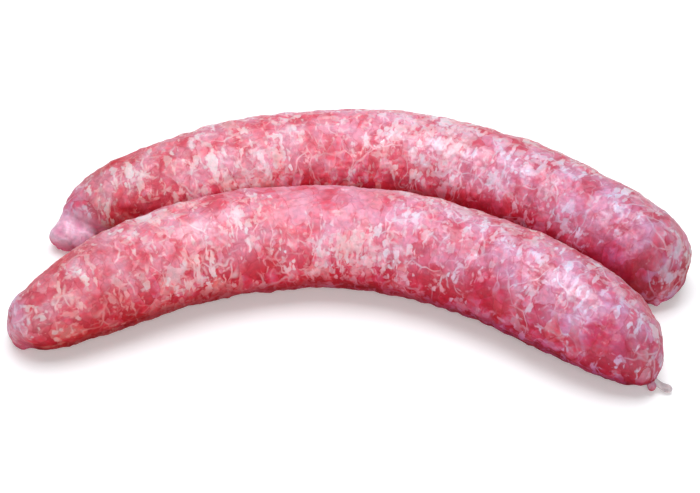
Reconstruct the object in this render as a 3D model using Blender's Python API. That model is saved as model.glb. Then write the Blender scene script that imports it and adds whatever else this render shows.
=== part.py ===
"""String of two raw pork sausage links, in metres, +Z up, with X along the links.

One natural casing holds both links. They lie side by side on a flat surface, bent the way a gut is, with
their hollow sides towards -Y. At the back link's left end the casing is a loose, empty pouch, from which
a short twisted rope of it leads behind the front link to that link's left end. At the right ends the casing
was cut: the front link keeps a nub and a thin tail, the back link a short stub. The origin is on the
surface, under the middle of the whole string.
"""

import math
from dataclasses import dataclass

import bmesh
import bpy
import numpy as np
from mathutils import Vector, noise

MM = 0.001

# Filled links
SETTLE = 1.0 * MM  # how far a soft link settles into its own flat underside
DROOP = 9.0 * MM  # how much lower a gather sits than the middle of the axis
LUMP_SPACING = 21.0 * MM
LUMP_HEIGHT = 0.6 * MM
TIP_RADIUS = 0.4 * MM
BODY_RINGS = 62
BODY_SIDES = 26

# Bare casing
CASING_RINGS = 6
CASING_SIDES = 10

# Twisted casing between the links
ROPE_RADIUS = 1.8 * MM
ROPE_TURNS = 6
ROPE_LOBES = 2
ROPE_LOBE_DEPTH = 0.3  # share of the radius
ROPE_RINGS = 60
JOIN_GAP = 0.3 * MM

SKIN_COLOUR = (0.62, 0.18, 0.22)
CASING_COLOUR = (0.72, 0.52, 0.56)


def at(x, y, z):
    return Vector((x, y, z)) * MM


@dataclass
class Casing:
    """A run of bare casing that comes out of a link, with its root inside the link."""

    name: str
    root: Vector
    radius: float
    length: float
    heading: float  # plan direction, degrees from +X
    foot: float  # height of its far end's centre
    swell: float = 0.0  # how much the far end is swollen, as a share of the radius
    square: bool = False  # ends square, where the rope goes on


@dataclass
class Fold:
    """A soft swelling of a link's flank, where slack casing lies folded."""

    middle: Vector
    size: float
    height: float


@dataclass
class End:
    """How one end of a filled link rounds off to the gather of its casing."""

    reach: float  # length over which it tapers
    fullness: float  # 2 is a plain ellipse, more is blunter
    shift: float  # how far the gather sits off the axis, towards the link's hollow side
    hook: float  # degrees that the last eighth of the axis turns towards the hollow side


@dataclass
class Link:
    """A filled link. Its axis turns by a cubic law of t, which runs from -1 to 1 along it."""

    name: str
    length: float
    radius: float
    middle: Vector  # plan position of the middle of the axis
    tilt: float  # degrees: heading at the middle
    bend: float  # degrees that the axis turns from its middle to an end
    skew: float  # degrees by which it turns more at the left than at the right
    ease: float  # degrees by which it turns less towards both ends
    left: End
    right: End
    folds: tuple
    casings: tuple


NECK = Casing("neck", at(-105.7, -27.7, 6.0), ROPE_RADIUS, 7 * MM, 72, 3.4 * MM, square=True)
NUB = Casing("nub", at(91.1, -47.7, 6.5), 1.5 * MM, 4.8 * MM, -93, 2.6 * MM)
TAIL = Casing("tail", at(90.9, -49.8, 5.0), 1.05 * MM, 6.6 * MM, -14, 1.5 * MM, swell=0.35)
KNOB = Casing("knob", at(-91.6, 16.8, 7.2), 4.7 * MM, 11.0 * MM, -115, 4.6 * MM, swell=0.12)
POUCH = Casing("pouch", at(-86.5, 19.5, 8.0), 4.8 * MM, 14 * MM, -106, 4.2 * MM)
STUB = Casing("stub", at(96.3, -15.2, 5.5), 1.5 * MM, 3.8 * MM, -85, 4.0 * MM)

FRONT = Link(
    name="front_link",
    length=222 * MM,
    radius=16.5 * MM,
    middle=at(-4.5, 0.0, 0),
    tilt=-4,
    bend=60,
    skew=4,
    ease=22,
    left=End(reach=84 * MM, fullness=3.1, shift=-9 * MM, hook=-43),
    right=End(reach=60 * MM, fullness=3.8, shift=1 * MM, hook=6),
    folds=(
        Fold(at(-97.7, -37.2, 2.5), 8 * MM, 3.4 * MM),
        Fold(at(84.3, -51.7, 4.0), 10 * MM, 1.6 * MM),
    ),
    casings=(NECK, NUB, TAIL),
)
BACK = Link(
    name="back_link",
    length=215 * MM,
    radius=16.1 * MM,
    middle=at(10.4, 37.4, 0),
    tilt=-5.5,
    bend=61.5,
    skew=-13,
    ease=44,
    left=End(reach=66 * MM, fullness=2.6, shift=-4 * MM, hook=45),
    right=End(reach=28 * MM, fullness=5.0, shift=0.0, hook=36),
    folds=(
        Fold(at(107.5, -6.0, 11.5), 8 * MM, 1.6 * MM),
        Fold(at(-93.5, 24.0, 10.0), 8 * MM, 4.0 * MM),
    ),
    casings=(KNOB, POUCH, STUB),
)

# The rope's way from the front link's neck to the back link's pouch
ROPE_WAY = (
    at(-101.7, -14.7, 2.3),
    at(-96.7, -8.2, 2.1),
    at(-92.7, -1.5, 2.1),
    at(-90.2, 5.4, 2.4),
)


def clear_scene():
    for found in list(bpy.data.objects):
        bpy.data.objects.remove(found)


def painted(name, colour, roughness):
    made = bpy.data.materials.new(name)
    made.use_nodes = True
    shader = made.node_tree.nodes["Principled BSDF"]
    shader.inputs["Base Color"].default_value = (*colour, 1.0)
    shader.inputs["Roughness"].default_value = roughness
    shader.inputs["Metallic"].default_value = 0.0
    return made


def rounding(distance, end):
    """Share of the full radius at each distance from a gather."""
    beyond = 1.0 - np.clip(distance / end.reach, 0.0, 1.0)
    return np.sqrt(1.0 - beyond**end.fullness)


def hook(t, degrees):
    """The extra turn of an axis over its last eighth."""
    return degrees * np.clip((t - 0.75) / 0.25, 0.0, 1.0) ** 2


def axis_of(link, stations):
    """Plan positions and headings at these distances from the axis's left end."""
    steps = 800
    fine = np.linspace(0.0, link.length, steps + 1)
    t = 2 * fine / link.length - 1
    turn = link.tilt - link.bend * t + link.skew * t**2 + link.ease * t**3
    heading = np.radians(turn + hook(-t, link.left.hook) - hook(t, link.right.hook))
    step = np.stack([np.cos(heading), np.sin(heading)], axis=1) * link.length / steps
    path = np.cumsum(step, axis=0) - step / 2
    path += np.array(link.middle)[:2] - path[steps // 2]
    plan = np.stack([np.interp(stations, fine, path[:, k]) for k in (0, 1)], axis=1)
    return plan, np.interp(stations, fine, heading)


def body_rings(link):
    """(centres, directions, radii) of the filled body, with rings closer together at its ends."""
    even = np.linspace(0.0, 1.0, BODY_RINGS)
    along = link.length * (0.25 * even + 0.75 * (1 - np.cos(math.pi * even)) / 2)
    share = rounding(along, link.left) * rounding(link.length - along, link.right)
    plan, heading = axis_of(link, along)
    towards_hollow = np.stack([np.sin(heading), -np.cos(heading)], axis=1)
    shift = np.where(along < link.length / 2, link.left.shift, link.right.shift)
    plan += towards_hollow * (shift * (1 - share) ** 2)[:, None]
    height = link.radius - SETTLE - DROOP * (1 - share)
    centres = np.column_stack([plan, height])
    directions = np.column_stack([np.cos(heading), np.sin(heading), np.zeros(BODY_RINGS)])
    return centres, directions, np.maximum(link.radius * share, TIP_RADIUS)


def casing_rings(casing):
    """(centres, directions, radii) of bare casing, from its root to its far end."""
    out = np.sin(np.linspace(0.0, math.pi / 2, CASING_RINGS))
    heading = math.radians(casing.heading)
    reach = np.array([math.cos(heading), math.sin(heading), 0.0]) * casing.length
    fall = np.array([0.0, 0.0, casing.foot - casing.root.z])
    centres = np.array(casing.root) + np.outer(out, reach) + np.outer(out * (2 - out), fall)
    directions = np.gradient(centres, axis=0)
    directions /= np.linalg.norm(directions, axis=1)[:, None]
    swollen = 1 + casing.swell * np.exp(-(((out - 0.8) / 0.2) ** 2))
    blunt = 1.0 if casing.square else np.sqrt(1 - 0.9 * out**8)
    return centres, directions, casing.radius * swollen * blunt


def smooth_way(points, count):
    """Points at even steps along a Catmull-Rom curve through these points."""
    knots = np.array(points)
    knots = np.vstack([2 * knots[0] - knots[1], knots, 2 * knots[-1] - knots[-2]])
    pieces = []
    for a, b, c, d in zip(knots, knots[1:], knots[2:], knots[3:]):
        u = np.linspace(0.0, 1.0, 40)[:, None]
        bent = 2 * a - 5 * b + 4 * c - d
        pieces.append((2 * b + (c - a) * u + bent * u**2 + (3 * b - a - 3 * c + d) * u**3) / 2)
    path = np.vstack(pieces)
    run = np.concatenate([[0], np.cumsum(np.linalg.norm(np.diff(path, axis=0), axis=1))])
    even = np.linspace(0.0, run[-1], count)
    return np.stack([np.interp(even, run, path[:, k]) for k in range(3)], axis=1)


def rope_rings():
    """(centres, directions, radii) of the rope, which starts square against the neck."""
    neck, directions, _ = casing_rings(NECK)
    start = neck[-1] + directions[-1] * JOIN_GAP
    onward = start + directions[-1] * ROPE_RADIUS
    centres = smooth_way([start, onward, *ROPE_WAY], ROPE_RINGS)
    along = np.gradient(centres, axis=0)
    along /= np.linalg.norm(along, axis=1)[:, None]
    return centres, along, np.full(ROPE_RINGS, ROPE_RADIUS)


def lump(point, link):
    """How far the casing stands out at a point: uneven filling, and folds of slack casing."""
    height = LUMP_HEIGHT * noise.noise(point / LUMP_SPACING)
    for fold in link.folds:
        away = (point - fold.middle).length / fold.size
        height += fold.height * math.exp(-(away**2))
    return height


def twist(ring, angle):
    """Share of the rope's radius at an angle, for lobes that turn as the rings go on."""
    turned = angle - 2 * math.pi * ROPE_TURNS * ring / ROPE_RINGS
    return 1 + ROPE_LOBE_DEPTH * (math.cos(ROPE_LOBES * turned) - 1) / 2


def skin(name, rings, sides, reach_at, material):
    """A closed tube: a sphere whose circles of latitude are moved onto the rings.

    reach_at(ring, angle, radius, edge) gives how far the skin stands from a ring's centre, where edge is
    the point on the plain ring. Nothing goes below the surface that the links lie on.
    """
    centres, directions, radii = rings
    count = len(centres)
    mesh = bpy.data.meshes.new(name)
    shape = bmesh.new()
    bmesh.ops.create_uvsphere(shape, u_segments=sides, v_segments=count + 1, radius=1.0)
    for vertex in shape.verts:
        height = max(-1.0, min(1.0, vertex.co.z))
        circle = (0.5 + math.asin(height) / math.pi) * (count + 1)
        ring = max(0, min(count - 1, round(circle) - 1))
        centre = Vector(centres[ring])
        along = Vector(directions[ring])
        side = Vector((0, 0, 1)).cross(along).normalized()
        angle = math.atan2(vertex.co.y, vertex.co.x)
        outward = side * math.cos(angle) + along.cross(side) * math.sin(angle)
        pole = abs(height) > 1 - 1e-6
        edge = centre + outward * radii[ring]
        vertex.co = centre if pole else centre + outward * reach_at(ring, angle, radii[ring], edge)
        vertex.co.z = max(vertex.co.z, 0.0)
    shape.to_mesh(mesh)
    shape.free()
    mesh.shade_smooth()
    mesh.materials.append(material)
    return bpy.data.objects.new(name, mesh)


def make_link(link, material):
    def reach_at(ring, angle, radius, edge):
        fill = (radius / link.radius) ** 2
        return radius + fill * lump(edge, link)

    return skin(link.name, body_rings(link), BODY_SIDES, reach_at, material)


def make_casing(casing, material):
    def reach_at(ring, angle, radius, edge):
        return radius

    return skin(casing.name, casing_rings(casing), CASING_SIDES, reach_at, material)


def make_rope(material):
    """The empty casing between the links, twisted into a rope."""

    def reach_at(ring, angle, radius, edge):
        return radius * twist(ring, angle)

    return skin("link_twist", rope_rings(), CASING_SIDES, reach_at, material)


def join(body, piece):
    """Makes a piece part of a body with a Boolean union, and hides the piece."""
    union = body.modifiers.new("join_" + piece.name, "BOOLEAN")
    union.operation = "UNION"
    union.object = piece
    piece.hide_render = True
    piece.display_type = "WIRE"


def main():
    clear_scene()
    string = bpy.data.collections.new("sausage_string")
    joined = bpy.data.collections.new("joined_casings")
    for group in (string, joined):
        bpy.context.scene.collection.children.link(group)
    filled = painted("pork_in_casing", SKIN_COLOUR, 0.3)
    bare = painted("bare_casing", CASING_COLOUR, 0.35)
    for link in (FRONT, BACK):
        body = make_link(link, filled)
        string.objects.link(body)
        for casing in link.casings:
            piece = make_casing(casing, bare)
            joined.objects.link(piece)
            join(body, piece)
    string.objects.link(make_rope(bare))


main()
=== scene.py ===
"""Looks of the string of two raw pork sausage links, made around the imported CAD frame.

Each link is one fine skin, fused from its filled body and the bare casing that grows out of it, with a
relief of ground meat pressed against a thin gut. The empty casing between the links is a twisted rope, and
the cut ends at the right carry small pieces of bare casing.
"""

import math
from dataclasses import dataclass

import bpy
import numpy as np
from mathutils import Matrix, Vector, noise


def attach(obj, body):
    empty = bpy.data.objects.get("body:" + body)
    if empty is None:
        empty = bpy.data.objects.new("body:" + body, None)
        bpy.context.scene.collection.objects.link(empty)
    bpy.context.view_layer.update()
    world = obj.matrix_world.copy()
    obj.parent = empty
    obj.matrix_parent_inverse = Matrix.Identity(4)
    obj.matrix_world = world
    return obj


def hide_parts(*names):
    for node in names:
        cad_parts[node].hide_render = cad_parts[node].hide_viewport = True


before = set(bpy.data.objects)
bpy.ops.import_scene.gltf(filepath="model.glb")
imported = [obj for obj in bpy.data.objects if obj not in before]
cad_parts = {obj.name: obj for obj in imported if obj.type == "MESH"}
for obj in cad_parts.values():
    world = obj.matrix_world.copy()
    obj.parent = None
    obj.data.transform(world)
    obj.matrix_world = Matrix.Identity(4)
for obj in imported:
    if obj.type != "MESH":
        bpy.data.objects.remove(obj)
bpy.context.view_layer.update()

MM = 0.001

# The form of the links, as the CAD source has it
SETTLE = 1.0 * MM  # how far a soft link settles into its own flat underside
DROOP = 9.0 * MM  # how much lower a gather sits than the middle of the axis
LUMP_SPACING = 21.0 * MM
LUMP_HEIGHT = 0.6 * MM
TIP_RADIUS = 0.4 * MM
ROPE_RADIUS = 1.8 * MM
ROPE_TURNS = 6
ROPE_LOBES = 2
ROPE_LOBE_DEPTH = 0.3  # share of the radius

# How fine the meshes are
BODY_RINGS = 300
BODY_SIDES = 150
CASING_RINGS = 60
CASING_SIDES = 40
ROPE_RINGS = 420
ROPE_SIDES = 48
VOXEL = 0.57 * MM
AXIS_STEPS = 800
REST_STATIONS = 700  # places along a link to which the points of its skin are measured
BATCH = 8000  # points that are measured at a time

# How a bare casing is joined to its link's body
JOIN_INNER = 1.3  # in casing radii from its root: fully softened within this
JOIN_OUTER = 2.2  # and not at all beyond this
JOIN_ROUNDS = 25  # how often the join is smoothed

# The camera
CAMERA_HEIGHT = 46  # degrees above the floor
CAMERA_AWAY = 0.5  # metres from what it looks at
LENS = 80.4  # millimetres, as its sensor's width is
SENSOR = 36.0

# Sizes of the cells of the meat's pattern in millimetres: along the link, across it and up
BIG_FLECK = (4.4, 7.2, 7.2)
MIDDLE_FLECK = (2.4, 4.2, 4.2)
SMALL_FLECK = (1.4, 2.6, 2.2)
CROSS_CLOT = (2.4, 5.5, 5.5)
LONG_CLOT = (4.5, 2.6, 2.6)
WISP = (4.0, 10.0, 10.0)
FINE_WISP = (6.0, 5.0, 5.0)
STRAND = (11.0, 14.0, 14.0)
LEAN_PIECE = (4.4, 6.4, 6.4)
FOLD_SPACING = (3.0, 6.0, 6.0)  # out along the empty casing, and round it
HEM = 10.0  # millimetres from the root of an empty casing to the hem across it

# Colours of the meat, seen through the casing
LEAN_RAMP = (
    (0.0, (0.64, 0.016, 0.044)),
    (0.35, (0.79, 0.052, 0.100)),
    (0.7, (0.82, 0.120, 0.180)),
    (1.0, (0.84, 0.24, 0.31)),
)
FAT_CLEAR = (0.94, 0.56, 0.58)
FAT_MILKY = (0.96, 0.76, 0.82)
# Painted sheen: the pale haze that the overhead light leaves on the tops of the links
TOP_SHEEN_CLEAR = (0.86, 0.27, 0.36)
TOP_SHEEN_MILKY = (0.84, 0.40, 0.54)
# Painted shade: the first colour is empty casing where it faces down, the others are its own colours
# between and on its folds
GUT_SHADED_UNDER = (0.60, 0.06, 0.15)
GUT_HOLLOW = (0.74, 0.27, 0.42)
GUT_FOLD = (0.83, 0.52, 0.66)

# Tints, which multiply those colours
ORANGE_CAST = (1.0, 1.10, 0.84)
MAGENTA_CAST = (0.97, 0.90, 1.16)
CREASE_TINT = (0.82, 0.66, 0.68)
# Painted shade: deeper and redder down the flanks, oranger towards the left end and more magenta towards
# the right
UNDER_SHADE_LEFT = (0.77, 0.25, 0.17)
UNDER_SHADE_RIGHT = (0.80, 0.235, 0.44)
RED_LEFT = (0.93, 0.48, 0.46)
RED_RIGHT = (0.93, 0.44, 0.60)
# Painted shade, darker still on the undersides of the links
UNDERSIDE_SHADE_TINT = (0.46, 0.36, 0.42)
FAR_TINT = (1.0, 0.96, 0.80)
# Tints along each link from its left end to its right: a painted lilac reflection at the left tip and
# painted cool shade at the right end
END_REFLECTION_AND_SHADE = (
    (0.0, (0.78, 0.90, 1.18)),
    (0.045, (0.86, 0.95, 0.88)),
    (0.45, (0.97, 1.0, 1.0)),
    (0.92, (0.75, 0.90, 1.08)),
    (1.0, (0.66, 0.80, 0.90)),
)
GRAIN_RAMP = ((0.3, (0.82, 0.84, 0.84)), (0.7, (1.16, 1.12, 1.12)))


def at(x, y, z):
    return Vector((x, y, z)) * MM


@dataclass
class Casing:
    """A run of bare casing that comes out of a link, with its root inside the link."""

    name: str
    root: Vector
    radius: float
    length: float
    heading: float  # plan direction, degrees from +X
    foot: float  # height of its far end's centre
    swell: float = 0.0  # how much the far end is swollen, as a share of the radius
    empty: float = 1.0  # how little meat shows through it
    begins: float = 0.1  # share of its length where it starts to look empty


@dataclass
class Fold:
    """A soft swelling of a link's flank, where slack casing lies folded."""

    middle: Vector
    size: float
    height: float


@dataclass
class End:
    """How one end of a filled link rounds off to the gather of its casing."""

    reach: float  # length over which it tapers
    fullness: float  # 2 is a plain ellipse, more is blunter
    shift: float  # how far the gather sits off the axis, towards the link's hollow side
    hook: float  # degrees that the last eighth of the axis turns towards the hollow side


@dataclass
class Zone:
    """A patch of a link where the mix of the filling differs."""

    along: float  # share of the link's length
    angle: float  # degrees from the top, positive towards the link's hollow side
    length: float  # from its middle to where it fades, along the link
    width: float  # and round it
    fat: float = 0.0  # 1 is much more, -1 is none
    red: float = 0.0  # 1 is deep red, -1 is pale
    gloss: float = 0.0  # 1 is wet, -1 is dull


@dataclass
class Link:
    """A filled link. Its axis turns by a cubic law of t, which runs from -1 to 1 along it."""

    name: str
    length: float
    radius: float
    middle: Vector  # plan position of the middle of the axis
    tilt: float  # degrees: heading at the middle
    bend: float  # degrees that the axis turns from its middle to an end
    skew: float  # degrees by which it turns more at the left than at the right
    ease: float  # degrees by which it turns less towards both ends
    left: End
    right: End
    folds: tuple
    fused: tuple  # bare casings that are one skin with the body
    zones: tuple
    shuffle: float  # where in the endless pattern of meat the link lies, in millimetres


NECK = Casing("neck", at(-105.7, -27.7, 6.0), ROPE_RADIUS, 7 * MM, 72, 3.4 * MM)
LOBE = Casing("lobe", at(-100.8, -30.5, 6.0), 5.0 * MM, 6.2 * MM, -138, 5.0 * MM, empty=0.45, begins=0.35)
NUB = Casing("nub", at(91.1, -47.7, 6.5), 1.5 * MM, 4.8 * MM, -93, 2.6 * MM, empty=0.2, begins=0.5)
TAIL = Casing("casing_tail", at(90.9, -49.8, 5.0), 1.05 * MM, 6.6 * MM, -14, 1.5 * MM, swell=0.35)
KNOB = Casing("knob", at(-91.6, 16.8, 7.2), 4.7 * MM, 11.0 * MM, -115, 4.6 * MM, swell=0.12)
POUCH = Casing("pouch", at(-86.5, 19.5, 8.0), 4.8 * MM, 14 * MM, -106, 4.2 * MM)
STUB = Casing("stub", at(96.3, -15.2, 5.5), 1.5 * MM, 3.8 * MM, -85, 4.0 * MM, empty=0.5, begins=0.5)

FRONT = Link(
    name="front_link",
    length=222 * MM,
    radius=16.5 * MM,
    middle=at(-4.5, 0.0, 0),
    tilt=-4,
    bend=60,
    skew=4,
    ease=22,
    left=End(reach=84 * MM, fullness=3.1, shift=-9 * MM, hook=-43),
    right=End(reach=60 * MM, fullness=3.8, shift=1 * MM, hook=6),
    folds=(
        Fold(at(-97.7, -37.2, 2.5), 8 * MM, 3.4 * MM),
        Fold(at(84.3, -51.7, 4.0), 10 * MM, 1.6 * MM),
        Fold(at(-95.7, -33.2, 3.5), 2.4 * MM, -1.4 * MM),
    ),
    fused=(NECK, LOBE, NUB),
    zones=(
        Zone(0.13, 72, 19 * MM, 11 * MM, fat=-0.4, red=0.9),
        Zone(0.12, -35, 16 * MM, 9 * MM, fat=-0.7, red=0.8),
        Zone(0.27, 68, 9 * MM, 7 * MM, fat=1.0),
        Zone(0.38, 72, 10 * MM, 7 * MM, fat=-0.8, red=1.0),
        Zone(0.72, 78, 24 * MM, 8 * MM, fat=-0.2, red=0.5),
        Zone(0.76, 64, 9 * MM, 7 * MM, fat=-0.8, red=0.75),
        Zone(0.935, 43, 9 * MM, 7 * MM, fat=-1.2, red=1.3),
        Zone(0.94, 78, 14 * MM, 8 * MM, fat=-0.6, red=0.5),
        Zone(0.02, 60, 7 * MM, 14 * MM, fat=-0.6, red=0.3),
        Zone(0.48, -14, 18 * MM, 14 * MM, fat=-1.7, red=-1.0),
        Zone(0.35, 20, 9 * MM, 20 * MM, fat=0.5, red=-0.3),
        Zone(0.54, 57, 19 * MM, 9 * MM, fat=1.2, red=-0.2),
        Zone(0.42, 72, 5 * MM, 6 * MM, fat=1.0),
        Zone(0.60, -28, 14 * MM, 7 * MM, fat=1.5, red=-0.4),
        Zone(0.74, -8, 10 * MM, 5 * MM, fat=1.3),
        Zone(0.87, 20, 20 * MM, 11 * MM, fat=0.4, red=-0.4, gloss=0.7),
        Zone(0.28, 18, 6 * MM, 4 * MM, gloss=1.0),
        Zone(0.55, 40, 12 * MM, 7 * MM, gloss=0.3),
    ),
    shuffle=0.0,
)
BACK = Link(
    name="back_link",
    length=215 * MM,
    radius=16.1 * MM,
    middle=at(10.4, 37.4, 0),
    tilt=-5.5,
    bend=61.5,
    skew=-13,
    ease=44,
    left=End(reach=66 * MM, fullness=2.6, shift=-4 * MM, hook=45),
    right=End(reach=28 * MM, fullness=5.0, shift=0.0, hook=36),
    folds=(
        Fold(at(107.5, -6.0, 11.5), 8 * MM, 1.6 * MM),
        Fold(at(-93.5, 24.0, 10.0), 8 * MM, 4.0 * MM),
    ),
    fused=(KNOB, POUCH, STUB),
    zones=(
        Zone(0.10, 66, 11 * MM, 9 * MM, fat=-1.0, red=1.0),
        Zone(0.37, 62, 9 * MM, 8 * MM, fat=-0.8, red=1.0),
        Zone(0.74, 88, 60 * MM, 8 * MM, fat=-0.4, red=1.2),
        Zone(0.94, 75, 12 * MM, 12 * MM, fat=-0.8, red=0.8),
        Zone(0.10, 28, 12 * MM, 9 * MM, fat=0.9, red=-0.3),
        Zone(0.10, -36, 18 * MM, 10 * MM, fat=-0.8, red=1.0),
        Zone(0.55, -40, 70 * MM, 8 * MM, fat=0.5, red=-0.5),
        # Painted light: paler and fatter here to lift the shade where the back link lies against the front
        # link
        Zone(0.27, 58, 32 * MM, 11 * MM, fat=0.4, red=-0.6),
        Zone(0.57, -4, 12 * MM, 7 * MM, fat=0.9),
        Zone(0.57, 32, 17 * MM, 10 * MM, fat=0.9, red=-0.2),
        Zone(0.60, 18, 30 * MM, 8 * MM, gloss=0.5),
        Zone(0.78, -4, 9 * MM, 7 * MM, fat=0.8, gloss=0.6),
        Zone(0.91, -10, 9 * MM, 9 * MM, red=-0.3, gloss=0.8),
        Zone(0.97, 45, 10 * MM, 10 * MM, fat=-0.7, red=0.1),
    ),
    shuffle=400.0,
)

# The rope's way from the front link's neck to the back link's pouch
ROPE_WAY = (
    at(-101.7, -14.7, 2.3),
    at(-96.7, -8.2, 2.1),
    at(-92.7, -1.5, 2.1),
    at(-90.2, 5.4, 2.4),
)


# ---------------------------------------------------------------------------------------------- form


def smoothstep(value, low, high):
    share = np.clip((value - low) / (high - low), 0.0, 1.0)
    return share * share * (3 - 2 * share)


def rounding(distance, end):
    """Share of the full radius at each distance from a gather."""
    beyond = 1.0 - np.clip(distance / end.reach, 0.0, 1.0)
    return np.sqrt(1.0 - beyond**end.fullness)


def hook(t, degrees):
    """The extra turn of an axis over its last eighth."""
    return degrees * np.clip((t - 0.75) / 0.25, 0.0, 1.0) ** 2


def axis_of(link, stations):
    """Plan positions and headings at these distances from the axis's left end."""
    fine = np.linspace(0.0, link.length, AXIS_STEPS + 1)
    t = 2 * fine / link.length - 1
    turn = link.tilt - link.bend * t + link.skew * t**2 + link.ease * t**3
    heading = np.radians(turn + hook(-t, link.left.hook) - hook(t, link.right.hook))
    step = np.stack([np.cos(heading), np.sin(heading)], axis=1) * link.length / AXIS_STEPS
    path = np.cumsum(step, axis=0) - step / 2
    path += np.array(link.middle)[:2] - path[AXIS_STEPS // 2]
    plan = np.stack([np.interp(stations, fine, path[:, k]) for k in (0, 1)], axis=1)
    return plan, np.interp(stations, fine, heading)


def stations_of(link, count):
    """Distances along a link, closer together at its ends."""
    even = np.linspace(0.0, 1.0, count)
    return link.length * (0.25 * even + 0.75 * (1 - np.cos(math.pi * even)) / 2)


def body_rings(link, along):
    """(centres, directions, radii) of the filled body at these distances along it."""
    share = rounding(along, link.left) * rounding(link.length - along, link.right)
    plan, heading = axis_of(link, along)
    towards_hollow = np.stack([np.sin(heading), -np.cos(heading)], axis=1)
    shift = np.where(along < link.length / 2, link.left.shift, link.right.shift)
    plan = plan + towards_hollow * (shift * (1 - share) ** 2)[:, None]
    height = link.radius - SETTLE - DROOP * (1 - share)
    centres = np.column_stack([plan, height])
    directions = np.column_stack([np.cos(heading), np.sin(heading), np.zeros(len(along))])
    return centres, directions, np.maximum(link.radius * share, TIP_RADIUS)


def casing_rings(casing, count=CASING_RINGS):
    """(centres, directions, radii) of bare casing, from its root to its far end."""
    out = np.sin(np.linspace(0.0, math.pi / 2, count))
    heading = math.radians(casing.heading)
    reach = np.array([math.cos(heading), math.sin(heading), 0.0]) * casing.length
    fall = np.array([0.0, 0.0, casing.foot - casing.root.z])
    centres = np.array(casing.root) + np.outer(out, reach) + np.outer(out * (2 - out), fall)
    directions = np.gradient(centres, out, axis=0)
    directions /= np.linalg.norm(directions, axis=1)[:, None]
    swollen = 1 + casing.swell * np.exp(-(((out - 0.8) / 0.2) ** 2))
    return centres, directions, casing.radius * swollen * np.sqrt(1 - 0.9 * out**8)


def smooth_way(points, count):
    """Points at even steps along a Catmull-Rom curve through these points."""
    knots = np.array(points)
    knots = np.vstack([2 * knots[0] - knots[1], knots, 2 * knots[-1] - knots[-2]])
    pieces = []
    for a, b, c, d in zip(knots, knots[1:], knots[2:], knots[3:]):
        u = np.linspace(0.0, 1.0, 40)[:, None]
        bent = 2 * a - 5 * b + 4 * c - d
        pieces.append((2 * b + (c - a) * u + bent * u**2 + (3 * b - a - 3 * c + d) * u**3) / 2)
    path = np.vstack(pieces)
    run = np.concatenate([[0], np.cumsum(np.linalg.norm(np.diff(path, axis=0), axis=1))])
    even = np.linspace(0.0, run[-1], count)
    return np.stack([np.interp(even, run, path[:, k]) for k in range(3)], axis=1)


def around(rings, sides):
    """(centres, outward directions, radii) of every point round the rings, as grids."""
    centres, directions, radii = rings
    side = np.cross((0.0, 0.0, 1.0), directions)
    side /= np.linalg.norm(side, axis=1)[:, None]
    up = np.cross(directions, side)
    angle = 2 * math.pi * np.arange(sides) / sides
    outward = side[:, None] * np.cos(angle)[:, None] + up[:, None] * np.sin(angle)[:, None]
    return centres[:, None], outward, radii[:, None, None]


def tube(name, points):
    """A closed mesh over rings of points, with a pole at the middle of the first and the last ring."""
    count, sides, _ = points.shape
    poles = [points[0].mean(axis=0), points[-1].mean(axis=0)]
    grid = np.arange(count * sides).reshape(count, sides)
    after = np.roll(grid, -1, axis=1)
    quads = np.stack([grid[:-1], after[:-1], after[1:], grid[1:]], axis=-1).reshape(-1, 4)
    first, last = count * sides, count * sides + 1
    caps = [(first, b, a) for a, b in zip(grid[0], after[0])]
    caps += [(last, a, b) for a, b in zip(grid[-1], after[-1])]
    mesh = bpy.data.meshes.new(name)
    mesh.from_pydata(np.vstack([points.reshape(-1, 3), poles]).tolist(), [], quads.tolist() + caps)
    mesh.shade_smooth()
    return mesh


def above_floor(points):
    """Flattens what would lie under the surface that the links rest on."""
    points[..., 2] = np.maximum(points[..., 2], 0.0)
    return points


def body_mesh(link):
    """The filled body, with the uneven swelling and the folds that the CAD solid has."""
    centres, outward, radii = around(body_rings(link, stations_of(link, BODY_RINGS)), BODY_SIDES)
    edge = centres + outward * radii
    flat = edge.reshape(-1, 3)
    lump = np.array([noise.noise(Vector(point) / LUMP_SPACING) for point in flat]) * LUMP_HEIGHT
    for fold in link.folds:
        away = np.linalg.norm(flat - np.array(fold.middle), axis=1) / fold.size
        lump += fold.height * np.exp(-(away**2))
    fill = (radii / link.radius) ** 2
    points = edge + outward * fill * lump.reshape(*edge.shape[:2], 1)
    return tube(link.name, above_floor(points))


def casing_mesh(casing):
    centres, outward, radii = around(casing_rings(casing), CASING_SIDES)
    return tube(casing.name, above_floor(centres + outward * radii))


# ---------------------------------------------------------------------------------------------- meshes


def show(name, data):
    """A new object of this mesh, light or camera, in the scene."""
    made = bpy.data.objects.new(name, data)
    bpy.context.scene.collection.objects.link(made)
    return made


def applied(obj):
    """Puts the modified mesh in the object's place, with no modifiers left."""
    graph = bpy.context.evaluated_depsgraph_get()
    mesh = bpy.data.meshes.new_from_object(obj.evaluated_get(graph))
    obj.modifiers.clear()
    obj.data = mesh


def vectors(vertices, name):
    """One vector of each vertex, such as its place or its normal."""
    flat = np.empty(len(vertices) * 3, np.float32)
    vertices.foreach_get(name, flat)
    return flat.reshape(-1, 3).astype(float)


def move_to(mesh, points):
    mesh.vertices.foreach_set("co", points.astype(np.float32).ravel())
    mesh.update()


def store(mesh, name, values):
    """Keeps one number or one vector for each vertex."""
    kind = "FLOAT" if values.ndim == 1 else "FLOAT_VECTOR"
    field = "value" if values.ndim == 1 else "vector"
    layer = mesh.attributes.new(name, kind, "POINT")
    layer.data.foreach_set(field, values.astype(np.float32).ravel())


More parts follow.
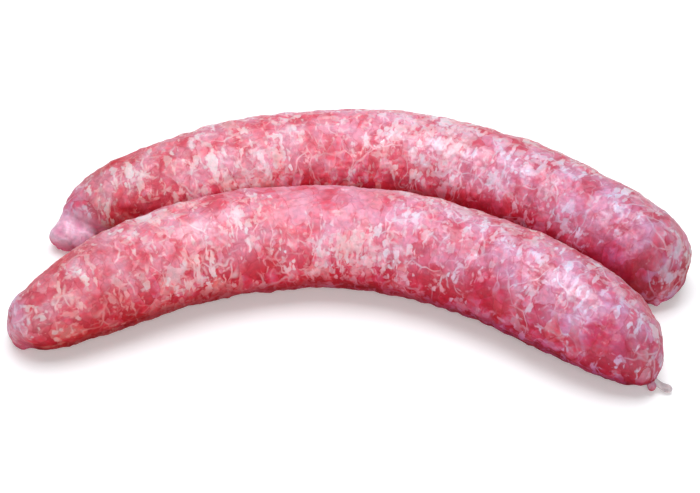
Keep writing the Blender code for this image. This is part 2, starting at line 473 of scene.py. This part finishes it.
def fused_skin(link):
    """One fine skin over the body and its bare casings, with soft joins between them."""
    meshes = [body_mesh(link)] + [casing_mesh(casing) for casing in link.fused]
    parts = [show(mesh.name, mesh) for mesh in meshes]
    with bpy.context.temp_override(active_object=parts[0], selected_editable_objects=parts):
        bpy.ops.object.join()
    skin = parts[0]
    remesh = skin.modifiers.new("remesh", "REMESH")
    remesh.mode = "VOXEL"
    remesh.voxel_size = VOXEL
    even = skin.modifiers.new("even", "SMOOTH")
    even.factor = 0.5
    even.iterations = 5
    applied(skin)

    points = vectors(skin.data.vertices, "co")
    near = np.zeros(len(points))
    for casing in link.fused:
        away = np.linalg.norm(points - np.array(casing.root), axis=1)
        near = np.maximum(near, 1 - smoothstep(away / casing.radius, JOIN_INNER, JOIN_OUTER))
    group = skin.vertex_groups.new(name="joins")
    for index in np.nonzero(near > 0)[0]:
        group.add([int(index)], float(near[index]), "REPLACE")
    soften = skin.modifiers.new("soften", "SMOOTH")
    soften.vertex_group = "joins"
    soften.factor = 0.5
    soften.iterations = JOIN_ROUNDS
    applied(skin)
    skin.vertex_groups.clear()
    skin.name = link.name + "_skin"
    return skin


def describe(skin, link):
    """Stores where each point of the skin lies on its link.

    rest is its place in millimetres if the link were straight: along, sideways and up from its axis.
    share is that place along the link from 0 to 1. bare is 1 on empty casing and 0 on filled casing.
    gut is the place on the empty casing in millimetres: out from its root, then round it. facing is 1 on
    top and -1 underneath. zone holds how much fatter, redder and wetter the link's zones make it there.
    """
    points = vectors(skin.data.vertices, "co")
    along = stations_of(link, REST_STATIONS)
    centres, directions, _ = body_rings(link, along)
    nearest = np.empty(len(points), int)
    for start in range(0, len(points), BATCH):
        part = points[start : start + BATCH, None, :2] - centres[None, :, :2]
        nearest[start : start + BATCH] = np.argmin((part**2).sum(axis=2), axis=1)
    away = points - centres[nearest]
    ahead = directions[nearest]
    side = np.cross((0.0, 0.0, 1.0), ahead)
    rest = np.column_stack([
        along[nearest] + (away * ahead).sum(axis=1),
        (away * side).sum(axis=1),
        away[:, 2],
    ])
    facing = vectors(skin.data.vertices, "normal")[:, 2]
    angle = np.arctan2(-rest[:, 1], rest[:, 2])
    mixed = np.zeros((len(points), 3))
    for zone in link.zones:
        far = (rest[:, 0] - zone.along * link.length) / zone.length
        off = (angle - math.radians(zone.angle)) * link.radius / zone.width
        mixed += np.exp(-(far**2) - off**2)[:, None] * (zone.fat, zone.red, zone.gloss)
    bare = np.zeros(len(points))
    gut = np.zeros((len(points), 3))
    for casing in link.fused:
        rings, ways, _ = casing_rings(casing, 12)
        out = (points - rings[0]) @ ways[0]
        off = points - rings[0] - out[:, None] * ways[0]
        far = np.linalg.norm(off, axis=1)
        grown = smoothstep(out / casing.length, casing.begins, casing.begins + 0.4) * casing.empty
        grown *= 1 - smoothstep(far, 1.6 * casing.radius, 2.4 * casing.radius)
        round_it = off / np.maximum(far, TIP_RADIUS)[:, None] * casing.radius
        here = np.column_stack([out, round_it[:, 0], round_it[:, 2]])
        gut = np.where((grown > bare)[:, None], here, gut)
        bare = np.maximum(bare, grown)
    store(skin.data, "rest", rest / MM + (link.shuffle, 0.0, 0.0))
    store(skin.data, "zone", mixed)
    store(skin.data, "bare", bare)
    store(skin.data, "gut", gut / MM)
    store(skin.data, "facing", facing)
    store(skin.data, "share", rest[:, 0] / link.length)


# ---------------------------------------------------------------------------------------------- nodes


class Graph:
    """Adds nodes to a shader or geometry tree. Sizes are in millimetres of the links' rest places."""

    def __init__(self, tree):
        self.tree = tree

    def node(self, kind, inputs=(), **settings):
        made = self.tree.nodes.new(kind)
        for name, value in settings.items():
            setattr(made, name, value)
        for key, value in dict(inputs).items():
            self.feed(made.inputs[key], value)
        return made

    def feed(self, socket, value):
        if isinstance(value, bpy.types.NodeSocket):
            self.tree.links.new(value, socket)
        else:
            socket.default_value = value

    def math(self, operation, *values, clamp=False):
        made = self.node("ShaderNodeMath", dict(enumerate(values)), operation=operation)
        made.use_clamp = clamp
        return made.outputs[0]

    def vector(self, operation, *values, scale=None):
        made = self.node("ShaderNodeVectorMath", dict(enumerate(values)), operation=operation)
        if scale is not None:
            self.feed(made.inputs["Scale"], scale)
        return made.outputs[0]

    def step(self, value, low, high, start=0.0, end=1.0):
        """Runs smoothly from start to end as value goes from low to high."""
        inputs = {0: value, 1: low, 2: high, 3: start, 4: end}
        made = self.node("ShaderNodeMapRange", inputs, interpolation_type="SMOOTHSTEP")
        return made.outputs[0]

    def noise(self, place, size, detail=2.0, roughness=0.5, distortion=0.0):
        inputs = {
            "Vector": self.sized(place, size),
            "Scale": 1.0,
            "Detail": detail,
            "Roughness": roughness,
            "Distortion": distortion,
        }
        return self.node("ShaderNodeTexNoise", inputs).outputs

    def cells(self, place, size, feature="F1"):
        inputs = {"Vector": self.sized(place, size), "Scale": 1.0, "Randomness": 1.0}
        return self.node("ShaderNodeTexVoronoi", inputs, feature=feature).outputs

    def sized(self, place, size):
        sizes = size if isinstance(size, tuple) else (size,) * 3
        return self.vector("DIVIDE", place, sizes)

    def warp(self, place, size, amount, detail=2.0):
        """place, moved about by up to this amount."""
        centred = self.vector("SUBTRACT", self.noise(place, size, detail)[1], (0.5, 0.5, 0.5))
        return self.vector("ADD", place, self.vector("SCALE", centred, scale=amount * 2))

    def split(self, triple):
        """The three numbers of a vector or of a cell's random colour."""
        return self.node("ShaderNodeSeparateXYZ", {0: triple}).outputs

    def mix(self, share, first, second):
        made = self.node("ShaderNodeMix", data_type="RGBA")
        self.feed(made.inputs[0], share)
        for socket, value in ((made.inputs[6], first), (made.inputs[7], second)):
            self.feed(socket, value if isinstance(value, bpy.types.NodeSocket) else (*value, 1.0))
        return made.outputs[2]

    def tinted(self, share, colour, tint):
        made = self.node("ShaderNodeMix", data_type="RGBA", blend_type="MULTIPLY")
        self.feed(made.inputs[0], share)
        self.feed(made.inputs[6], colour)
        self.feed(made.inputs[7], tint if isinstance(tint, bpy.types.NodeSocket) else (*tint, 1.0))
        return made.outputs[2]

    def ramp(self, value, stops):
        made = self.node("ShaderNodeValToRGB", {0: value})
        elements = made.color_ramp.elements
        while len(elements) < len(stops):
            elements.new(1.0)
        for element, (position, colour) in zip(elements, stops):
            element.position = position
            element.color = (*colour, 1.0)
        return made.outputs[0]


@dataclass
class Meat:
    """Values of the ground meat at a place, each from 0 to 1."""

    fat: object
    lean: object  # from deep red to pale pink
    hue: object  # from orange to magenta
    milky: object  # where the casing lies dull and pale on the meat
    crease: object  # 1 along the dark joints between pieces of lean


def grains(g, place, rough, size, share, soft=0.22):
    """Rounded ragged pieces, one in each cell of this size, of which this share are fat."""
    found = g.cells(place, size)
    pick, span, dim = g.split(found["Color"])
    chosen = g.step(pick, g.math("SUBTRACT", 1.02, share), g.math("SUBTRACT", 1.06, share))
    reach = g.step(span, 0.0, 1.0, 0.35, 0.72)
    away = g.math("ADD", found["Distance"], rough)
    inside = g.step(away, g.math("SUBTRACT", reach, soft), reach, 1.0, 0.0)
    strength = g.step(dim, 0.0, 0.8, 0.45, 1.0)
    return g.math("MULTIPLY", g.math("MULTIPLY", chosen, inside), strength)


def clots(g, place, size, richness, soft=0.11):
    """Branching torn pieces: where noise of this size is highest."""
    value = g.noise(place, size, 2.0, 0.55)[0]
    edge = g.math("MULTIPLY_ADD", richness, -0.075, 0.61)
    return g.step(value, edge, g.math("ADD", edge, soft))


def threads(g, place, size, width, stretch=5.0, rare=0.5):
    """Thin pale branching wisps, in stretches of about this length. The higher rare is, the fewer."""
    away = g.cells(place, size, "DISTANCE_TO_EDGE")["Distance"]
    shown = g.step(g.noise(place, stretch, 1.0)[0], rare, rare + 0.20)
    return g.math("MULTIPLY", g.step(away, 0.0, width, 1.0, 0.0), shown)


def ground_meat(g, rest, zone):
    """The pattern of fat and lean at a rest place."""
    fatter, redder, _ = g.split(zone)
    ragged = g.warp(rest, 2.4, 0.9, 2.0)
    richness = g.math("ADD", g.step(g.noise(rest, 13.0, 2.0)[0], 0.36, 0.64), fatter)
    rough = g.math("SUBTRACT", g.noise(rest, 1.6, 1.0)[0], 0.5)

    def moved(x, y, z):
        return g.vector("ADD", ragged, (x, y, z))

    def flecks(place, size, more, least, soft=0.22):
        """Grains of which at least this share are fat, and more where the mix is richer."""
        return grains(g, place, rough, size, g.math("MULTIPLY_ADD", richness, more, least), soft)

    def where_rich(value, low, high, most):
        return g.math("MULTIPLY", value, g.step(richness, low, high, 0.0, most))

    loose = g.warp(rest, 6.0, 2.2, 1.0)
    further = g.vector("ADD", loose, (51.0, 5.0, 3.0))
    drawn = g.vector("ADD", g.warp(rest, 8.0, 5.0, 1.0), (5.0, 41.0, 23.0))
    pieces = (
        flecks(ragged, BIG_FLECK, 0.22, 0.03),
        flecks(moved(31.0, 7.0, 3.0), MIDDLE_FLECK, 0.20, 0.06),
        flecks(moved(3.0, 57.0, 5.0), SMALL_FLECK, 0.12, 0.05, 0.30),
        g.math("MULTIPLY", clots(g, moved(9.0, 5.0, 77.0), CROSS_CLOT, richness), 0.85),
        g.math("MULTIPLY", clots(g, moved(9.0, 95.0, 7.0), LONG_CLOT, richness), 0.55),
        where_rich(threads(g, loose, WISP, 0.09), -0.4, 0.5, 0.65),
        where_rich(threads(g, further, FINE_WISP, 0.07), -0.4, 0.5, 0.3),
        where_rich(threads(g, drawn, STRAND, 0.042, 9.0, 0.42), -0.5, 0.2, 0.70),
    )
    fat = pieces[0]
    for piece in pieces[1:]:
        fat = g.math("MAXIMUM", fat, piece)
    fat = g.math("MULTIPLY", fat, g.step(rough, -0.2, 0.2, 1.0, 0.8))

    pressed = moved(7.0, 8.0, 9.0)
    tone, hue, _ = g.split(g.cells(pressed, LEAN_PIECE)["Color"])
    joint = g.cells(pressed, LEAN_PIECE, "DISTANCE_TO_EDGE")["Distance"]
    crease = g.math("MULTIPLY", g.step(joint, 0.0, 0.07, 1.0, 0.0), g.step(rough, -0.15, 0.15))
    cloud = g.noise(ragged, 6.0, 2.0, 0.6)[0]
    mixed = g.math("MULTIPLY_ADD", tone, 0.36, g.math("SUBTRACT", cloud, 0.18))
    mixed = g.math("MULTIPLY_ADD", rough, -0.25, mixed)
    lean = g.step(g.math("MULTIPLY_ADD", redder, -0.16, mixed), 0.34, 0.66)
    milky = g.step(g.noise(rest, 8.0, 2.0)[0], 0.36, 0.64)
    return Meat(fat, lean, hue, milky, crease)


def wrinkles(g, gut):
    """Folds that run across the empty casing: 1 on a fold and 0 between folds."""
    soft = g.step(g.noise(gut, FOLD_SPACING, 1.0, 0.5, 0.5)[0], 0.35, 0.65, 0.0, 0.7)
    wander = g.math("SUBTRACT", g.noise(gut, 5.0, 0.0)[0], 0.5)
    hem = g.math("MULTIPLY_ADD", wander, 4.0, g.math("SUBTRACT", g.split(gut)[0], HEM))
    return g.math("MAXIMUM", soft, g.step(g.math("ABSOLUTE", hem), 0.1, 0.8, 1.0, 0.0))


# ---------------------------------------------------------------------------------------------- relief


def press_relief(skin):
    """Presses uneven lumps, the raised flecks of fat and the folds of empty casing into the mesh itself."""
    tree = bpy.data.node_groups.new("relief", "GeometryNodeTree")
    tree.interface.new_socket("Geometry", in_out="INPUT", socket_type="NodeSocketGeometry")
    tree.interface.new_socket("Geometry", in_out="OUTPUT", socket_type="NodeSocketGeometry")
    g = Graph(tree)

    def stored(name, kind="FLOAT_VECTOR"):
        return g.node("GeometryNodeInputNamedAttribute", {"Name": name}, data_type=kind).outputs[0]

    rest = stored("rest")
    meat = ground_meat(g, rest, stored("zone"))
    # Heights are in millimetres until they become an offset
    lumps = g.math("MULTIPLY_ADD", g.noise(rest, 7.0, 2.0)[0], 2.2, -1.4)
    lumps = g.math("MULTIPLY_ADD", g.noise(rest, 3.0, 1.0)[0], 0.6, lumps)
    filled = g.math("ADD", lumps, g.math("MULTIPLY", meat.fat, 0.12))
    folded = g.math("MULTIPLY_ADD", wrinkles(g, stored("gut")), 0.7, -0.35)
    height = g.node("ShaderNodeMix", {0: stored("bare", "FLOAT"), 2: filled, 3: folded}).outputs[0]
    normal = g.node("GeometryNodeInputNormal").outputs[0]
    offset = g.vector("SCALE", normal, scale=g.math("MULTIPLY", height, MM))
    before = g.node("NodeGroupInput").outputs[0]
    after = g.node("GeometryNodeSetPosition", {"Geometry": before, "Offset": offset}).outputs[0]
    g.feed(g.node("NodeGroupOutput").inputs[0], after)
    skin.modifiers.new("relief", "NODES").node_group = tree
    applied(skin)
    move_to(skin.data, above_floor(vectors(skin.data.vertices, "co")))
    skin.data.shade_smooth()


# ---------------------------------------------------------------------------------------------- materials


def shaded(name, constants):
    """(material, graph, shader) of a new material, with these numbers and colours on its shader."""
    made = bpy.data.materials.new(name)
    made.use_nodes = True
    shader = made.node_tree.nodes["Principled BSDF"]
    for socket, value in constants.items():
        shader.inputs[socket].default_value = value
    return made, Graph(made.node_tree), shader


def meat_colour(g, meat, rest, zone, facing, share):
    """Lean and fat under the casing, with painted shade that makes them deeper and redder down the flanks
    and darkest underneath, a painted sheen on top, and painted reflection and shade towards both ends.
    """
    cast = g.mix(meat.hue, ORANGE_CAST, MAGENTA_CAST)
    lean = g.tinted(g.step(facing, 1.0, 0.2, 0.4, 1.0), g.ramp(meat.lean, LEAN_RAMP), cast)
    # Painted sheen: a pale haze of the overhead light on the tops of the links, thicker where the casing is
    # milky
    thick = g.math("MULTIPLY_ADD", meat.milky, 0.6, 0.5)
    painted_top_sheen = g.math("MULTIPLY", g.step(facing, 0.0, 0.95, 0.0, 0.6), thick)
    lean = g.mix(painted_top_sheen, lean, g.mix(meat.milky, TOP_SHEEN_CLEAR, TOP_SHEEN_MILKY))
    lean = g.tinted(meat.crease, lean, CREASE_TINT)
    colour = g.mix(meat.fat, lean, g.mix(meat.milky, FAT_CLEAR, FAT_MILKY))
    # Painted shade: deeper and redder down the flanks, where less light falls
    under = g.step(facing, -0.35, 0.4, 1.0, 0.0)
    colour = g.tinted(under, colour, g.mix(share, UNDER_SHADE_LEFT, UNDER_SHADE_RIGHT))
    red = g.step(g.split(zone)[1], 0.25, 0.9)
    colour = g.tinted(red, colour, g.mix(share, RED_LEFT, RED_RIGHT))
    # Painted shade: darker still on the underside
    painted_underside_shade = g.step(facing, -0.5, 0.05, 1.0, 0.0)
    colour = g.tinted(painted_underside_shade, colour, UNDERSIDE_SHADE_TINT)
    # Painted reflection at the left tip and painted shade at the right end of each link
    colour = g.tinted(1.0, colour, g.ramp(share, END_REFLECTION_AND_SHADE))
    far_side = g.math("MULTIPLY", g.step(g.split(rest)[1], -2.0, 12.0), g.step(share, 0.4, 0.75))
    return g.tinted(far_side, colour, FAR_TINT)


def gut_colour(g, gut, facing):
    """Empty casing: pale on its folds, with painted shade where it faces down."""
    above = g.mix(wrinkles(g, gut), GUT_HOLLOW, GUT_FOLD)
    # Painted shade where the casing faces down
    return g.mix(g.step(facing, -0.2, 0.5), GUT_SHADED_UNDER, above)


def wetness(g, rest, zone, facing, bare):
    """How strongly the moist casing shines: in patches, on top, more on bare gut and on the hollow side."""
    patches = g.step(g.noise(rest, 9.0, 3.0)[0], 0.42, 0.68, 0.1, 0.5)
    wet = g.math("ADD", patches, g.split(zone)[2], clamp=True)
    wet = g.math("MULTIPLY", wet, g.step(facing, -0.1, 0.6, 0.0, 1.0))
    wet = g.math("MULTIPLY_ADD", bare, 0.5, wet)
    return g.math("MULTIPLY", wet, g.step(g.split(rest)[1], -7.0, 5.0, 1.0, 0.25))


def pork_material():
    """Ground pork seen through moist casing, which is bare towards the gathers."""
    made, g, shader = shaded("pork_in_casing", {
        "Specular IOR Level": 0.18,
        "Specular Tint": (0.80, 0.84, 1.0, 1.0),
        "Subsurface Weight": 0.3,
        "Subsurface Radius": (1.0, 0.35, 0.25),
        "Subsurface Scale": 2.0 * MM,
        "Coat Roughness": 0.14,
        "Coat IOR": 1.6,
    })

    def stored(name, output="Fac"):
        return g.node("ShaderNodeAttribute", attribute_name=name).outputs[output]

    rest = stored("rest", "Vector")
    zone = stored("zone", "Vector")
    facing = stored("facing")
    bare = stored("bare")
    meat = ground_meat(g, rest, zone)
    filled = meat_colour(g, meat, rest, zone, facing, stored("share"))
    colour = g.mix(bare, filled, gut_colour(g, stored("gut", "Vector"), facing))
    grain = g.noise(rest, 1.6, 3.0)[0]
    g.feed(shader.inputs["Base Color"], g.tinted(1.0, colour, g.ramp(grain, GRAIN_RAMP)))
    bump = g.node("ShaderNodeBump", {"Height": grain, "Strength": 0.6, "Distance": 0.5 * MM})
    g.feed(shader.inputs["Normal"], bump.outputs[0])
    g.feed(shader.inputs["Coat Normal"], bump.outputs[0])
    matt = g.step(meat.milky, 0.0, 1.0, 0.38, 0.55)
    dull_below = g.step(facing, -0.3, 0.2, 0.5, 0.0)
    g.feed(shader.inputs["Roughness"], g.math("ADD", matt, dull_below, clamp=True))
    g.feed(shader.inputs["Coat Weight"], wetness(g, rest, zone, facing, bare))
    return made


def casing_material():
    """Empty moist casing: clearer at the cut tail, and pinker where it is twisted into the rope."""
    made, g, shader = shaded("bare_casing", {
        "Roughness": 0.35,
        "Subsurface Weight": 0.5,
        "Subsurface Radius": (1.0, 0.6, 0.5),
        "Subsurface Scale": 2.0 * MM,
        "Coat Weight": 0.8,
        "Coat Roughness": 0.15,
    })
    place = g.node("ShaderNodeTexCoord").outputs["Object"]
    place = g.vector("SCALE", place, scale=1 / MM)
    cloud = g.noise(place, 2.5, 3.0)[0]
    rope = g.step(g.split(place)[0], -60.0, 60.0, 1.0, 0.0)
    thick = g.mix(rope, (0.40, 0.32, 0.34), (0.50, 0.25, 0.28))
    thin = g.mix(rope, (0.62, 0.53, 0.55), (0.74, 0.50, 0.52))
    g.feed(shader.inputs["Base Color"], g.mix(g.step(cloud, 0.3, 0.7), thick, thin))
    bump = g.node("ShaderNodeBump", {"Height": cloud, "Strength": 0.4, "Distance": 0.2 * MM})
    g.feed(shader.inputs["Normal"], bump.outputs[0])
    return made


def floor_material():
    """A plain pale sheet, which glows a little so that its far parts stay light."""
    made, g, shader = shaded("pale_floor", {
        "Roughness": 0.9,
        "Specular IOR Level": 0.1,
        "Emission Color": (1.0, 1.0, 1.0, 1.0),
        "Emission Strength": 0.2,
    })
    place = g.node("ShaderNodeTexCoord").outputs["Object"]
    cloud = g.noise(g.vector("SCALE", place, scale=1 / MM), 60.0, 3.0)[0]
    g.feed(shader.inputs["Base Color"], g.mix(cloud, (0.93, 0.93, 0.93), (0.96, 0.96, 0.96)))
    return made


# ---------------------------------------------------------------------------------------------- pieces


def make_link(link, material):
    skin = fused_skin(link)
    describe(skin, link)
    press_relief(skin)
    skin.data.materials.clear()
    skin.data.materials.append(material)
    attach(skin, "root")
    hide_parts(link.name)


def make_twist(material):
    """The empty casing between the links, twisted into a rope that grows out of the front link's neck."""
    neck, _, _ = casing_rings(NECK, 6)
    centres = smooth_way([*neck[::2], *np.array(ROPE_WAY)], ROPE_RINGS)
    directions = np.gradient(centres, axis=0)
    directions /= np.linalg.norm(directions, axis=1)[:, None]
    start, outward, radii = around((centres, directions, np.full(ROPE_RINGS, ROPE_RADIUS)), ROPE_SIDES)
    ring = np.arange(ROPE_RINGS)[:, None] / ROPE_RINGS
    angle = 2 * math.pi * np.arange(ROPE_SIDES) / ROPE_SIDES - 2 * math.pi * ROPE_TURNS * ring
    lobes = 1 + ROPE_LOBE_DEPTH * (np.cos(ROPE_LOBES * angle) - 1) / 2
    twist = show("casing_twist", tube("casing_twist", start + outward * radii * lobes[..., None]))
    twist.data.materials.append(material)
    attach(twist, "root")
    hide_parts("link_twist")


def make_tail(material):
    """The thin tail of cut casing at the front link's right end."""
    tail = show("casing_tail", casing_mesh(TAIL))
    tail.data.materials.append(material)
    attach(tail, "root")


# ---------------------------------------------------------------------------------------------- stage


def make_stage():
    bpy.ops.mesh.primitive_plane_add(size=6.0, location=(0.0, 0.0, 0.0))
    floor = bpy.context.object
    floor.name = "floor"
    floor.data.materials.append(floor_material())


def area_light(name, place, width, depth, watts, colour):
    """A soft light that looks at the middle of the links."""
    data = bpy.data.lights.new(name, "AREA")
    data.shape = "RECTANGLE"
    data.size, data.size_y = width, depth
    data.energy = watts
    data.color = colour
    lamp = show(name, data)
    lamp.location = place
    ahead = Vector((0.0, 0.0, 0.0)) - Vector(place)
    lamp.rotation_euler = ahead.to_track_quat("-Z", "Y").to_euler()


def make_lights():
    area_light("window", (0.0, 0.08, 0.70), width=0.5, depth=0.5, watts=4.4, colour=(0.93, 0.96, 1.0))
    area_light("front", (0.05, -0.6, 0.55), width=0.6, depth=0.3, watts=1.8, colour=(1.0, 0.97, 0.95))
    world = bpy.data.worlds.new("studio")
    world.use_nodes = True
    background = world.node_tree.nodes["Background"]
    background.inputs["Color"].default_value = (0.96, 0.97, 1.0, 1.0)
    background.inputs["Strength"].default_value = 0.25
    bpy.context.scene.world = world


def make_camera():
    target = at(-0.7, -2.9, 14)
    elevation = math.radians(CAMERA_HEIGHT)
    away = Vector((0.0, -math.cos(elevation), math.sin(elevation)))
    data = bpy.data.cameras.new("camera")
    data.lens = LENS
    data.sensor_width = SENSOR
    camera = show("camera", data)
    camera.location = target + away * CAMERA_AWAY
    camera.rotation_euler = (-away).to_track_quat("-Z", "Y").to_euler()
    bpy.context.scene.camera = camera
    bpy.context.scene.view_settings.view_transform = "Standard"


def main():
    make_camera()
    pork = pork_material()
    casing = casing_material()
    for link in (FRONT, BACK):
        make_link(link, pork)
    make_twist(casing)
    make_tail(casing)
    make_stage()
    make_lights()


main()
